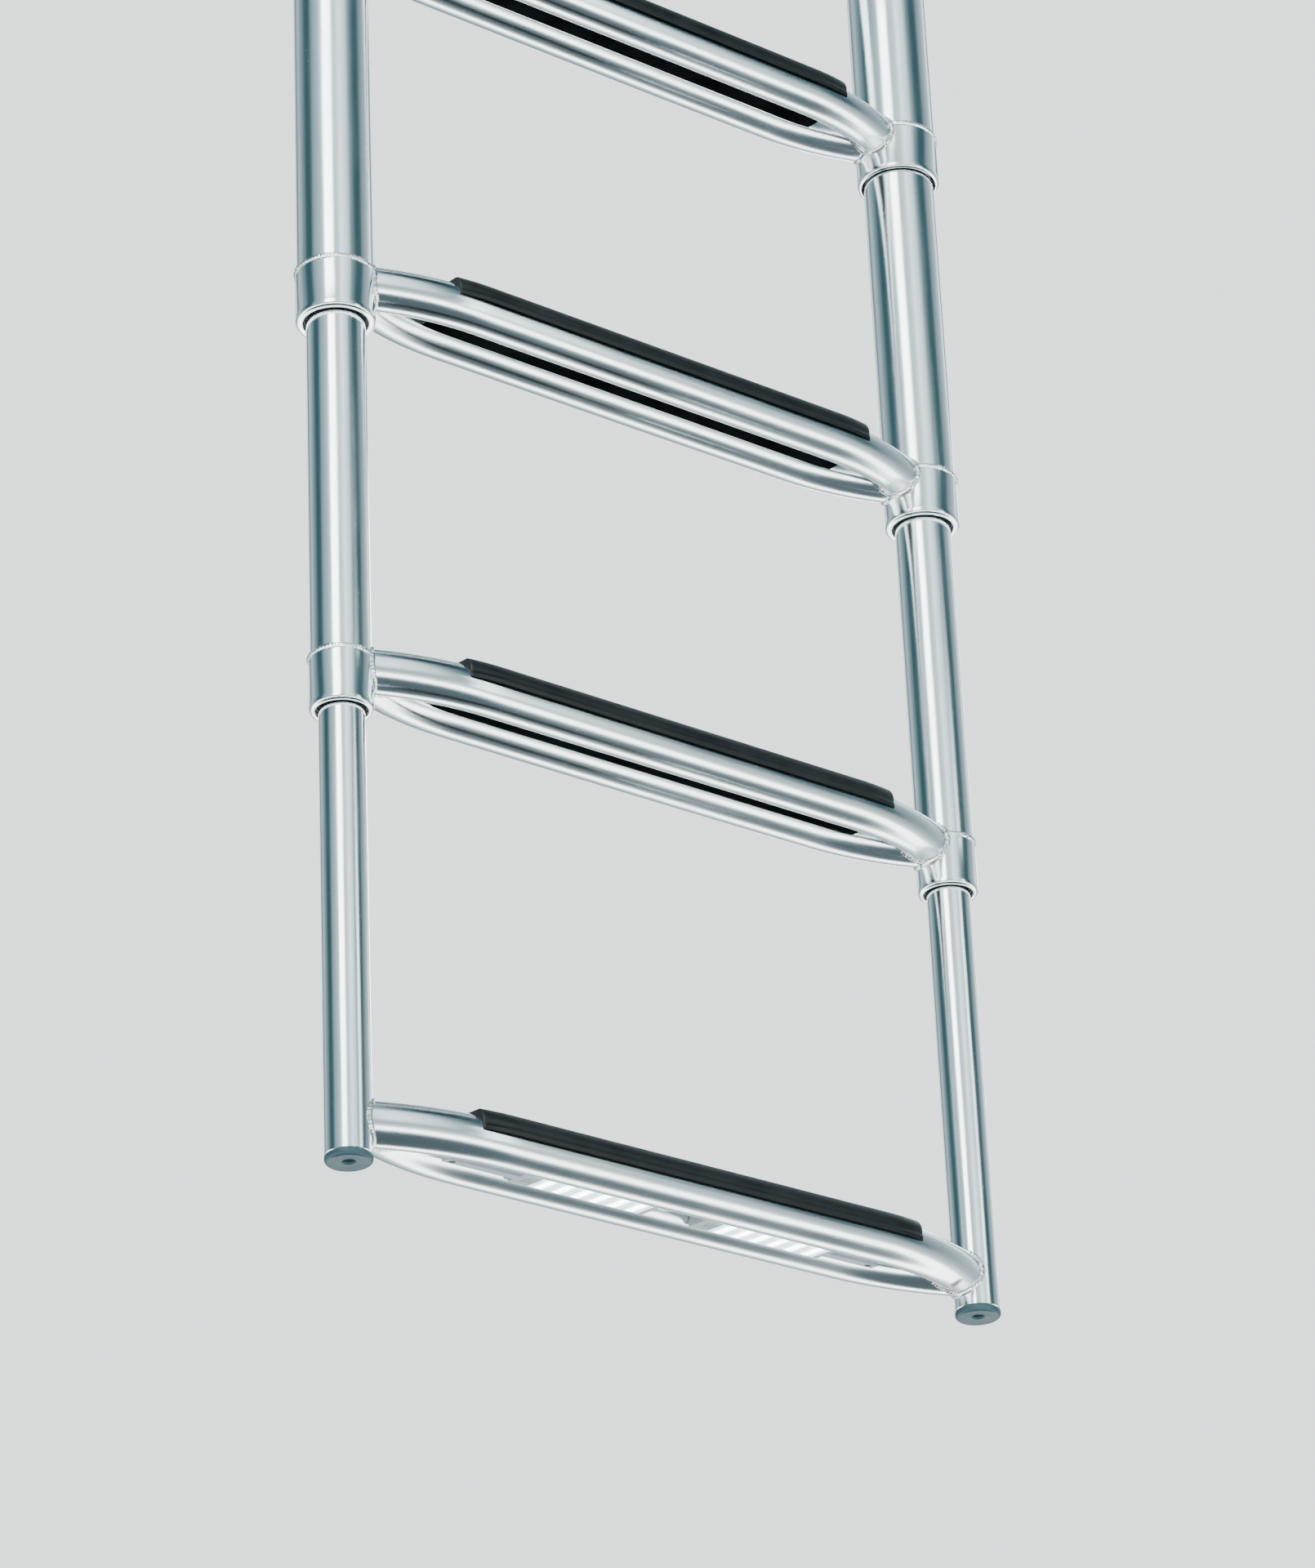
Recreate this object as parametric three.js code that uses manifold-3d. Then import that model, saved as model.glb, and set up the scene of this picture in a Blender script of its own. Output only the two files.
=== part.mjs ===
// Telescoping boarding ladder for a boat: four nested tube sections with a tread each,
// hung from a plate on a swim platform by two pivots.
// Millimetres, +Z up. Origin: centre of the plate's underside. The ladder hangs on the -Y side.
import * as THREE from "three";
import { mergeVertices } from "three/addons/utils/BufferGeometryUtils.js";
import Module from "manifold-3d";

const wasm = await Module();
wasm.setup();

// ---- driving dimensions ------------------------------------------------------------------
const STILE_X = 220; // stile centre line from the ladder's centre
const LADDER_Y = -85; // plane of the ladder, outboard of the platform's edge
const PIVOT_Z = 40; // pivot height above the platform
const WALL = 1.5; // tube wall
const TUBE_R = [25.4, 22.5, 17.5, 13.35]; // outer radius of each section's tubes, top to bottom
const PITCH = 251; // rim to rim, sections 1 to 3
const FIRST_RIM = 295; // top of the first tube down to its rim
const LAST_DROP = 270.5; // third rim down to the foot of the end plugs
const OVERLAP = 55; // length of each inner tube that stays inside when extended
const GAP = 0.3; // clearance between pieces that touch
const RUN = 0.15; // running clearance of a tube in its bush
const TUBE_SIDES = 18;

const COLLAR_H = 33; // welded end collar
const COLLAR_PROUD = 1; // collar's radius over its tube's
const RIM_ROUND = 2; // rounding of the collar's foot
const LIP_H = 2.7; // inward lip at the collar's foot, which holds the bush up
const LIP_CLEAR = 1.7; // lip to the next tube
const BUSH_H = 27;

const TREAD_UP = 29; // tread centre above its rim
const FOOT_TREAD_UP = 25; // centre of the lowest tread above the plug's foot
const TREAD_TILT = THREE.MathUtils.degToRad(6); // front edge low, level when the ladder leans out
const RAIL_R = 12.7;
const RAIL_Y = 20.5; // half spacing of the front and rear rails
const RAIL_STRAIGHT = 132; // half length before the bend
const RAIL_BEND_R = 160; // bend radius of the rails' centre line
const RAIL_SIDES = 10;
const RAIL_STEPS = 14;
const RAIL_END_X = STILE_X - 7; // centre line's end, inside the stile before coping

const PAD_HALF = 154; // half length of the tread pad
const PAD_TOP = 15.5; // pad's top above the tread centre
const PAD_SKIN = 1.5; // pad thickness at the side of a rail
const PAD_ROUND = 9; // rounding of its upper edges
const PAD_DRAFT = 0.8; // lean of its sides
const SKIRT_Z = 1.5; // lower edge of the pad's outer skirts
const KEEL_Z = -4; // underside of the pad between the rails
const LAMP_KEEL_Z = 7; // the same on the lowest tread, above the lamps

const PLUG = { flangeH: 4, flangeProud: 0.2, spigotH: 15, holeR: 3.2, holeH: 10, mouth: 2.5 };

const LAMP_X = 62.5; // lamp centres on the lowest tread
const LAMP_LENGTH = 92;
const LAMP_TOP = 6.5; // above the tread centre
const LENS_TOP = -3; // joint between housing and lens
const LAMP_FOOT = -9.5; // lens face
const LAMP_HALF_Y = 8.4; // widest half width
const LAMP_CLEAR = 0.7; // lamp to rail
const LAMP_BRACKET = 13; // block at the left end of a housing
const LAMP_CHEEK = 3; // wall at its right end
const LAMP_ARM = { left: 48, right: 36, halfY: 3, z0: -8.7, z1: -6.2 }; // arm that carries a lamp

const PLATE = { x: 500, y: 100, z: 5, cornerR: 12 };
const SCREW = { x: 225, y: 36, r: 4.2, headR: 8.2, headH: 3.2 };
const TONGUE = { halfX: 6, halfY: 15, length: 50, capH: 5, spigotH: 25 };
const CLEVIS = { earT: 6, sideGap: 0.4, bossR: 16, flangeX: 24, flangeH: 5, back: -10 };
const BOLT = { r: 5, holeR: 5.35, headR: 9, headH: 6, nutH: 7 };

// Heights that follow from them
const TUBE_TOP_Z = PIVOT_Z - TONGUE.length - TONGUE.capH - GAP;
const RIM_Z = [0, 1, 2].map((i) => TUBE_TOP_Z - FIRST_RIM - i * PITCH);
const FOOT_Z = RIM_Z[2] - LAST_DROP;
const TREAD_Z = [...RIM_Z.map((z) => z + TREAD_UP), FOOT_Z + FOOT_TREAD_UP];
const SIDES = { left: -1, right: 1 };

// ---- materials ---------------------------------------------------------------------------
const material = (color, roughness, metalness) =>
  new THREE.MeshStandardMaterial({ color, roughness, metalness });
const STEEL = material(0xb9c3c6, 0.18, 1);
const FASTENER = material(0xa9b0b3, 0.3, 1);
const PAD = material(0x16191b, 0.55, 0);
const BUSH = material(0x101315, 0.5, 0);
const PLASTIC = material(0x3c5158, 0.5, 0);
const HOUSING = material(0x9aa1a4, 0.45, 0);
const LENS = material(0xf2f8ff, 0.2, 0);

// ---- booleans ----------------------------------------------------------------------------
function closed(geometry) {
  const bare = geometry.clone();
  for (const name of ["normal", "uv"]) bare.deleteAttribute(name);
  const merged = mergeVertices(bare, 1e-4);
  const p = merged.attributes.position;
  const order = merged.index.array;
  const [a, b, c] = [new THREE.Vector3(), new THREE.Vector3(), new THREE.Vector3()];
  let volume = 0;
  for (let i = 0; i < order.length; i += 3) {
    a.fromBufferAttribute(p, order[i]);
    b.fromBufferAttribute(p, order[i + 1]);
    c.fromBufferAttribute(p, order[i + 2]);
    volume += a.dot(b.cross(c));
  }
  if (volume < 0) {
    for (let i = 0; i < order.length; i += 3) [order[i], order[i + 1]] = [order[i + 1], order[i]];
  }
  return merged;
}

function solid(geometry) {
  const g = closed(geometry);
  const vertProperties = new Float32Array(g.attributes.position.array);
  return new wasm.Manifold(
    new wasm.Mesh({ numProp: 3, vertProperties, triVerts: new Uint32Array(g.index.array) }),
  );
}

function geometryOf(manifold) {
  const mesh = manifold.getMesh();
  const g = new THREE.BufferGeometry();
  g.setAttribute("position", new THREE.BufferAttribute(new Float32Array(mesh.vertProperties), 3));
  g.setIndex(new THREE.BufferAttribute(new Uint32Array(mesh.triVerts), 1));
  g.computeVertexNormals();
  return g;
}

// ---- shapes ------------------------------------------------------------------------------
// A body turned about Z from [radius, z] points. A profile that misses the axis is closed.
function turned(profile, sides = TUBE_SIDES) {
  const points = profile.map(([r, z]) => new THREE.Vector2(r, z));
  if (points[0].x > 0) points.push(points[0].clone());
  return closed(new THREE.LatheGeometry(points, sides).rotateX(Math.PI / 2));
}

const ring = (outer, inner, z0, z1) =>
  turned([[inner, z0], [outer, z0], [outer, z1], [inner, z1]]);

const rod = (r, z0, z1, sides = TUBE_SIDES) => turned([[0, z0], [r, z0], [r, z1], [0, z1]], sides);

const block = (x0, x1, y0, y1, z0, z1) =>
  new THREE.BoxGeometry(x1 - x0, y1 - y0, z1 - z0)
    .translate((x0 + x1) / 2, (y0 + y1) / 2, (z0 + z1) / 2);

// A section in the YZ plane carried along X, centred on x = 0.
function alongX(shape, length, curveSegments = 5) {
  const g = new THREE.ExtrudeGeometry(shape, { depth: length, bevelEnabled: false, curveSegments });
  const turn = new THREE.Matrix4().makeBasis(
    new THREE.Vector3(0, 1, 0), new THREE.Vector3(0, 0, 1), new THREE.Vector3(1, 0, 0),
  );
  return g.applyMatrix4(turn).translate(-length / 2, 0, 0);
}

// Centre line of a tread rail: straight in the middle, bent towards the stiles at both ends.
class RailCurve extends THREE.Curve {
  constructor(side, reach) {
    super();
    this.side = side;
    this.half = RAIL_STRAIGHT + RAIL_BEND_R * Math.asin((reach - RAIL_STRAIGHT) / RAIL_BEND_R);
  }

  getPoint(t, target = new THREE.Vector3()) {
    const s = (2 * t - 1) * this.half;
    const bend = Math.max(0, Math.abs(s) - RAIL_STRAIGHT) / RAIL_BEND_R;
    const x = Math.min(Math.abs(s), RAIL_STRAIGHT) + RAIL_BEND_R * Math.sin(bend);
    const y = RAIL_Y - RAIL_BEND_R * (1 - Math.cos(bend));
    return target.set(Math.sign(s) * x, this.side * y, 0);
  }
}

function swept(curve, radius) {
  const section = new THREE.Shape();
  for (let i = 0; i < RAIL_SIDES; i += 1) {
    const a = (2 * Math.PI * (i + 0.5)) / RAIL_SIDES;
    section[i ? "lineTo" : "moveTo"](radius * Math.cos(a), radius * Math.sin(a));
  }
  return new THREE.ExtrudeGeometry(section, {
    steps: RAIL_STEPS, bevelEnabled: false, extrudePath: curve,
  });
}

// A tread rail, mitred against its twin, tilted with its tread and coped around both stiles.
function railGeometry(side, section) {
  const tubeR = TUBE_R[section];
  const curve = new RailCurve(side, RAIL_END_X);
  const tall = 40;
  const wide = 60;
  let rail = solid(swept(curve, RAIL_R)).subtract(solid(swept(curve, RAIL_R - WALL)));
  const [y0, y1] = [side * GAP / 2, side * wide].sort((a, b) => a - b);
  rail = rail.intersect(solid(block(-STILE_X, STILE_X, y0, y1, -tall, tall)));
  rail = rail.rotate([THREE.MathUtils.radToDeg(TREAD_TILT), 0, 0]);
  for (const end of [-1, 1]) {
    const collarTop = COLLAR_H - TREAD_UP + GAP;
    const cope = section < 3
      ? turned([
        [0, -tall], [tubeR + COLLAR_PROUD + GAP, -tall],
        [tubeR + COLLAR_PROUD + GAP, collarTop], [tubeR + GAP, collarTop],
        [tubeR + GAP, tall], [0, tall],
      ])
      : rod(tubeR + GAP, -tall, tall);
    rail = rail.subtract(solid(cope.translate(end * STILE_X, 0, 0)));
  }
  return geometryOf(rail);
}

// The pad: flat on top, wrapped over both rails, with a keel between them.
function padGeometry(section) {
  const keelZ = section < 3 ? KEEL_Z : LAMP_KEEL_Z;
  const innerR = RAIL_R + GAP;
  const skirt = Math.asin(SKIRT_Z / innerR);
  const keel = Math.asin(keelZ / innerR);
  const sideY = RAIL_Y + innerR + PAD_SKIN;
  const roundY = sideY - PAD_DRAFT - PAD_ROUND;
  const roundZ = PAD_TOP - PAD_ROUND;
  const s = new THREE.Shape();
  s.moveTo(sideY, SKIRT_Z);
  s.absarc(roundY, roundZ, PAD_ROUND, 0, Math.PI / 2, false);
  s.absarc(-roundY, roundZ, PAD_ROUND, Math.PI / 2, Math.PI, false);
  s.lineTo(-sideY, SKIRT_Z);
  s.lineTo(-RAIL_Y - innerR * Math.cos(skirt), SKIRT_Z);
  s.absarc(-RAIL_Y, 0, innerR, Math.PI - skirt, keel, true);
  s.lineTo(RAIL_Y - innerR * Math.cos(keel), keelZ);
  s.absarc(RAIL_Y, 0, innerR, Math.PI - keel, skirt, true);
  s.closePath();
  // trimmed so that it clears the rails where they start to bend
  let pad = solid(alongX(s, 2 * PAD_HALF, 7));
  for (const side of [-1, 1]) {
    pad = pad.subtract(solid(swept(new RailCurve(side, RAIL_END_X), innerR)));
  }
  return geometryOf(pad);
}

// A block that fills the space between the rails from x0 to x1
function lampBlock(x0, x1, zLow, zHigh) {
  const clearR = RAIL_R + LAMP_CLEAR;
  const halfY = (z) => Math.min(RAIL_Y - Math.sqrt(clearR * clearR - z * z), LAMP_HALF_Y);
  const rows = 5;
  const heights = Array.from({ length: rows + 1 }, (_, i) => zLow + ((zHigh - zLow) * i) / rows);
  const s = new THREE.Shape();
  s.moveTo(halfY(zLow), zLow);
  for (const z of heights.slice(1)) s.lineTo(halfY(z), z);
  for (const z of heights.reverse()) s.lineTo(-halfY(z), z);
  s.closePath();
  return alongX(s, x1 - x0).translate((x0 + x1) / 2, 0, 0);
}

// Lamp housing: a body above the lens, a bracket and a cheek at the lens's ends, and an arm outwards
function housingGeometry(side) {
  const half = LAMP_LENGTH / 2;
  const joint = LENS_TOP + GAP;
  const lap = 1;
  const { left, right, halfY, z0, z1 } = LAMP_ARM;
  const [x0, x1] = side < 0 ? [-half - left, -half + lap] : [half - lap, half + right];
  return geometryOf(
    solid(lampBlock(-half, half, joint, LAMP_TOP))
      .add(solid(lampBlock(-half, -half + LAMP_BRACKET, z0, joint + lap)))
      .add(solid(lampBlock(half - LAMP_CHEEK, half, z0, joint + lap)))
      .add(solid(block(x0, x1, -halfY, halfY, z0, z1))),
  );
}

function lensGeometry() {
  const half = LAMP_LENGTH / 2;
  const x0 = -half + LAMP_BRACKET + GAP;
  return closed(lampBlock(x0, half - LAMP_CHEEK - GAP, LAMP_FOOT, LENS_TOP));
}

// Collar welded on the foot of a tube: rounded outside, with the lip that keeps the bush in
function collarGeometry(section) {
  const outerR = TUBE_R[section] + COLLAR_PROUD;
  const boreR = TUBE_R[section] - WALL;
  const lipR = TUBE_R[section + 1] + LIP_CLEAR;
  const inside = lipR < boreR ? [[boreR, LIP_H], [lipR, LIP_H], [lipR, 0]] : [[boreR, 0]];
  return turned([
    ...inside, [outerR - RIM_ROUND, 0], [outerR, RIM_ROUND], [outerR, COLLAR_H], [boreR, COLLAR_H],
  ]);
}

// Plug in the foot of the last tube, with a blind hole in the middle
function plugGeometry() {
  const { flangeH, flangeProud, spigotH, holeR, holeH, mouth } = PLUG;
  const flangeR = TUBE_R[3] + flangeProud;
  const spigotR = TUBE_R[3] - WALL - GAP;
  const top = flangeH + spigotH;
  const round = flangeH / 2;
  return turned([
    [0, holeH], [holeR, holeH], [holeR, mouth / 2], [holeR + mouth, 0], [flangeR - round, 0],
    [flangeR, round], [flangeR, flangeH], [spigotR, flangeH], [spigotR, top], [0, top],
  ]);
}

// Flat tongue on top of a stile, with the cap and spigot that plug the tube. z = 0 is the pivot.
function tongueGeometry() {
  const { halfX, halfY, length, capH, spigotH } = TONGUE;
  const s = new THREE.Shape();
  s.moveTo(-halfY, -length - 1);
  s.lineTo(halfY, -length - 1);
  s.absarc(0, 0, halfY, 0, Math.PI, false);
  s.closePath();
  const capZ = -length - capH;
  const plug = turned([
    [0, capZ - spigotH], [TUBE_R[0] - WALL - GAP, capZ - spigotH],
    [TUBE_R[0] - WALL - GAP, capZ], [TUBE_R[0], capZ], [TUBE_R[0], -length - 1.5],
    [TUBE_R[0] - 1.5, -length], [0, -length],
  ]);
  const hole = rod(BOLT.holeR, -20, 20, 24).rotateY(Math.PI / 2);
  return geometryOf(solid(alongX(s, 2 * halfX, 8)).add(solid(plug)).subtract(solid(hole)));
}

// Clevis: two ears and a back web on a flange. Its origin is below the pivot, on the platform.
function clevisGeometry() {
  const { earT, sideGap, bossR, flangeX, flangeH, back } = CLEVIS;
  const foot = PLATE.z + GAP;
  const top = foot + flangeH;
  const front = -PLATE.y / 2 + 1;
  const toY = (y) => y - LADDER_Y;
  const inside = TONGUE.halfX + sideGap;
  const ear = new THREE.Shape();
  ear.moveTo(toY(front), top - 1);
  ear.lineTo(toY(back), top - 1);
  ear.lineTo(toY(back), top + 3);
  ear.lineTo(toY(front + 13), top + 3);
  ear.absarc(0, PIVOT_Z, bossR, THREE.MathUtils.degToRad(50), THREE.MathUtils.degToRad(245), false);
  ear.closePath();
  const hole = rod(BOLT.r + GAP, -40, 40, 24).rotateY(Math.PI / 2).translate(0, 0, PIVOT_Z);
  let clevis = solid(block(-flangeX, flangeX, toY(front), toY(back + 25), foot, top));
  for (const end of [-1, 1]) {
    const plate = alongX(ear, earT, 8).translate(end * (inside + earT / 2), 0, 0);
    clevis = clevis.add(solid(plate));
  }
  const web = block(
    -inside - 1, inside + 1, TONGUE.halfY + GAP, toY(front + 5),
    top - 1, PIVOT_Z - TONGUE.halfY - GAP,
  );
  // the part of the web in front of the flange is cut to the ears' slope
  const slope = new THREE.Shape();
  slope.moveTo(toY(front), top - 1);
  slope.lineTo(toY(front + 8), top - 1);
  slope.lineTo(toY(front + 8), PIVOT_Z);
  slope.lineTo(TONGUE.halfY, PIVOT_Z);
  slope.lineTo(TONGUE.halfY, PIVOT_Z - TONGUE.halfY - 3);
  slope.closePath();
  clevis = clevis.add(solid(web).intersect(solid(alongX(slope, 60))));
  return geometryOf(clevis.subtract(solid(hole)));
}

function boltGeometry() {
  const reach = TONGUE.halfX + CLEVIS.sideGap + CLEVIS.earT + GAP;
  const shank = rod(BOLT.r, -reach - BOLT.nutH - 3, reach + 1, 24);
  const head = rod(BOLT.headR, reach, reach + BOLT.headH, 6);
  return geometryOf(solid(shank).add(solid(head)).rotate([0, 90, 0]));
}

function nutGeometry() {
  const reach = TONGUE.halfX + CLEVIS.sideGap + CLEVIS.earT + GAP;
  const body = rod(BOLT.headR, -reach - BOLT.nutH, -reach, 6);
  const hole = rod(BOLT.r + GAP, -60, 60, 24);
  return geometryOf(solid(body).subtract(solid(hole)).rotate([0, 90, 0]));
}

function plateGeometry() {
  const { x, y, z, cornerR } = PLATE;
  const [w, d] = [x / 2, y / 2];
  const s = new THREE.Shape();
  s.moveTo(w, -d + cornerR);
  s.absarc(w - cornerR, d - cornerR, cornerR, 0, Math.PI / 2, false);
  s.absarc(-w + cornerR, d - cornerR, cornerR, Math.PI / 2, Math.PI, false);
  s.absarc(-w + cornerR, -d + cornerR, cornerR, Math.PI, 1.5 * Math.PI, false);
  s.absarc(w - cornerR, -d + cornerR, cornerR, 1.5 * Math.PI, 2 * Math.PI, false);
  const options = { depth: z, bevelEnabled: false, curveSegments: 5 };
  let plate = solid(new THREE.ExtrudeGeometry(s, options));
  const { r, headR, headH } = SCREW;
  const hole = [[0, -1], [r, -1], [r, z - headH], [headR, z + 0.02], [headR, z + 1], [0, z + 1]];
  for (const px of [-SCREW.x, SCREW.x]) {
    for (const py of [-SCREW.y, SCREW.y]) {
      plate = plate.subtract(solid(turned(hole, 12).translate(px, py, 0)));
    }
  }
  return geometryOf(plate);
}

// ---- assembly ----------------------------------------------------------------------------
const ladder = new THREE.Group();

function piece(parent, name, geometry, mat) {
  const mesh = new THREE.Mesh(geometry, mat);
  mesh.name = name;
  parent.add(mesh);
  return mesh;
}

// Mounting plate and the two pivots
piece(ladder, "mounting_plate", plateGeometry(), STEEL);
for (const [label, end] of Object.entries(SIDES)) {
  const pivot = new THREE.Group();
  pivot.position.set(end * STILE_X, LADDER_Y, 0);
  piece(pivot, `clevis_${label}`, clevisGeometry(), STEEL);
  const bolt = piece(pivot, `pivot_bolt_${label}`, boltGeometry(), FASTENER);
  const nut = piece(pivot, `pivot_nut_${label}`, nutGeometry(), FASTENER);
  for (const part of [bolt, nut]) {
    part.position.z = PIVOT_Z;
    part.rotation.z = end < 0 ? Math.PI : 0;
  }
  const tongue = piece(pivot, `hinge_tongue_${label}`, tongueGeometry(), STEEL);
  tongue.position.z = PIVOT_Z;
  ladder.add(pivot);
}

// One stile of one section: tube, collar and bush at its foot, guide ring at its head
function addStile(section, label, end) {
  const stile = new THREE.Group();
  stile.position.set(end * STILE_X, LADDER_Y, 0);
  ladder.add(stile);
  const r = TUBE_R[section];
  const n = section + 1;
  const rim = RIM_Z[section];
  const top = section ? RIM_Z[section - 1] + OVERLAP : TUBE_TOP_Z;
  const foot = section < 3 ? rim + COLLAR_H + GAP : FOOT_Z + PLUG.flangeH + GAP;
  piece(stile, `tube_${n}_${label}`, ring(r, r - WALL, foot, top), STEEL);
  if (section < 3) {
    piece(stile, `collar_${n}_${label}`, collarGeometry(section), STEEL).position.z = rim;
    const z0 = rim + LIP_H + GAP;
    const bush = ring(r - WALL - GAP, TUBE_R[section + 1] + RUN, z0, z0 + BUSH_H);
    piece(stile, `bush_${n}_${label}`, bush, BUSH);
  } else {
    const plug = piece(stile, `end_plug_${label}`, plugGeometry(), PLASTIC);
    plug.position.z = FOOT_Z;
  }
  if (section) {
    const z0 = RIM_Z[section - 1] + LIP_H + BUSH_H + 2 * GAP;
    const guide = ring(TUBE_R[section - 1] - WALL - GAP, r + GAP, z0, top);
    piece(stile, `guide_ring_${n}_${label}`, guide, BUSH);
  }
}

// One tread: two rails and the pad over them
function addTread(section) {
  const tread = new THREE.Group();
  tread.position.set(0, LADDER_Y, TREAD_Z[section]);
  ladder.add(tread);
  const n = section + 1;
  piece(tread, `rail_${n}_front`, railGeometry(-1, section), STEEL);
  piece(tread, `rail_${n}_rear`, railGeometry(1, section), STEEL);
  piece(tread, `pad_${n}`, padGeometry(section), PAD).rotation.x = TREAD_TILT;
  return tread;
}

for (let section = 0; section < TUBE_R.length; section += 1) {
  for (const [label, end] of Object.entries(SIDES)) addStile(section, label, end);
  const tread = addTread(section);
  if (section < TUBE_R.length - 1) continue;
  for (const [label, end] of Object.entries(SIDES)) {
    const lamp = new THREE.Group();
    lamp.position.x = end * LAMP_X;
    lamp.rotation.x = TREAD_TILT;
    tread.add(lamp);
    piece(lamp, `lamp_housing_${label}`, housingGeometry(end), HOUSING);
    piece(lamp, `lamp_lens_${label}`, lensGeometry(), LENS);
  }
}

export default ladder;
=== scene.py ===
"""Looks of the telescoping boarding ladder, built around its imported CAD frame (metres, +Z up)."""
import math

import bmesh
import bpy
from mathutils import Matrix, Vector


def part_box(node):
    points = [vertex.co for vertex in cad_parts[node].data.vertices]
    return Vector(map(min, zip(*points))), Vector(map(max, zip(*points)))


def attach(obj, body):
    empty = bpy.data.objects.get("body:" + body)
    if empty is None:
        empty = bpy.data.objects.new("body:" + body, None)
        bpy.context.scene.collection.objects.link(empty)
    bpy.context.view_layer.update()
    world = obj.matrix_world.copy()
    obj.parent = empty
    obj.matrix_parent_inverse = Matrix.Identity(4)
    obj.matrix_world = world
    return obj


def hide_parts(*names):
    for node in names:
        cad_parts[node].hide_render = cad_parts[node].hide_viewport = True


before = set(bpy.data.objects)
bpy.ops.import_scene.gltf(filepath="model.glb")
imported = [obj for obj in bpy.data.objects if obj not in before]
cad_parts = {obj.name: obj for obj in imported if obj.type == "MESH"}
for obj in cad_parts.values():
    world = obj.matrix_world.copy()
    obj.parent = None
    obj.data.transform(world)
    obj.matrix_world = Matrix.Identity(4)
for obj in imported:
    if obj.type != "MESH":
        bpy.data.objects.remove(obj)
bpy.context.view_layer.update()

MM = 0.001
SIDES = {"left": -1, "right": 1}
SECTIONS = (1, 2, 3, 4)
LAST = SECTIONS[-1]
DIODES = 6  # in each lamp

# ---- places and radii, read from the frame ---------------------------------------------------


def middle(node):
    low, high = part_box(node)
    return (low + high) / 2


def radius(node):
    low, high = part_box(node)
    return (high.x - low.x) / 2


STILE_X = middle("tube_1_right").x
LADDER_Y = middle("tube_1_right").y
TUBE_R = {n: radius(f"tube_{n}_left") for n in SECTIONS}
TREAD_Z = {
    n: (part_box(f"rail_{n}_front")[0].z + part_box(f"rail_{n}_rear")[1].z) / 2 for n in SECTIONS
}
TREAD_TILT = math.radians(6)  # front edge low
RIM_Z = {n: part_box(f"collar_{n}_left")[0].z for n in SECTIONS[:-1]}
COLLAR_R = {n: radius(f"collar_{n}_left") for n in SECTIONS[:-1]}
COLLAR_TOP = {n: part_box(f"collar_{n}_left")[1].z for n in SECTIONS[:-1]}

# ---- camera ----------------------------------------------------------------------------------
# Below and to the left of the ladder, looking up at it.
CAMERA_FROM_THIRD_RIM = Vector((-1.7465, -2.199, -1.3838))
CAMERA_YAW, CAMERA_PITCH, CAMERA_ROLL = (math.radians(a) for a in (-38.476, 26.481, -2.554))
LENS, SENSOR = 124.5, 36


def add_camera():
    forward = Vector((
        -math.sin(CAMERA_YAW) * math.cos(CAMERA_PITCH),
        math.cos(CAMERA_YAW) * math.cos(CAMERA_PITCH),
        math.sin(CAMERA_PITCH),
    ))
    level = Vector((math.cos(CAMERA_YAW), math.sin(CAMERA_YAW), 0))
    over = level.cross(forward)
    right = math.cos(CAMERA_ROLL) * level + math.sin(CAMERA_ROLL) * over
    up = -math.sin(CAMERA_ROLL) * level + math.cos(CAMERA_ROLL) * over
    data = bpy.data.cameras.new("camera")
    data.lens, data.sensor_width = LENS, SENSOR
    camera = bpy.data.objects.new("camera", data)
    turn = Matrix((right, up, -forward)).transposed().to_4x4()
    target = Vector((0, LADDER_Y, RIM_Z[3]))
    camera.matrix_world = Matrix.Translation(target + CAMERA_FROM_THIRD_RIM) @ turn
    bpy.context.scene.collection.objects.link(camera)
    bpy.context.scene.camera = camera


# ---- materials -------------------------------------------------------------------------------


class Tree:
    """Short hand for building a node tree."""

    def __init__(self, tree):
        self.tree = tree

    def add(self, kind, inputs=None, **settings):
        node = self.tree.nodes.new(kind)
        for key, value in settings.items():
            setattr(node, key, value)
        for key, value in (inputs or {}).items():
            self.put(node.inputs[key], value)
        return node

    def put(self, socket, value):
        if isinstance(value, bpy.types.NodeSocket):
            self.tree.links.new(value, socket)
        else:
            socket.default_value = value

    def calc(self, operation, one, two=None):
        inputs = {0: one} if two is None else {0: one, 1: two}
        return self.add("ShaderNodeMath", inputs, operation=operation).outputs[0]

    def ramp(self, value, low, high, out_low, out_high, **settings):
        inputs = {
            "Value": value, "From Min": low, "From Max": high, "To Min": out_low, "To Max": out_high,
        }
        return self.add("ShaderNodeMapRange", inputs, **settings).outputs["Result"]

    def bands(self, value, stops):
        """Colours along a value from 0 to 1, as (place, colour) stops."""
        node = self.add("ShaderNodeValToRGB", {0: value})
        node.color_ramp.interpolation = "EASE"
        elements = node.color_ramp.elements
        while len(elements) < len(stops):
            elements.new(0.5)
        for element, (at, colour) in zip(elements, stops):
            element.position, element.color = at, colour
        return node.outputs[0]

    def blend(self, factor, one, two, kind="MIX"):
        inputs = {0: factor, 6: one, 7: two}
        return self.add("ShaderNodeMix", inputs, data_type="RGBA", blend_type=kind).outputs[2]


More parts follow.
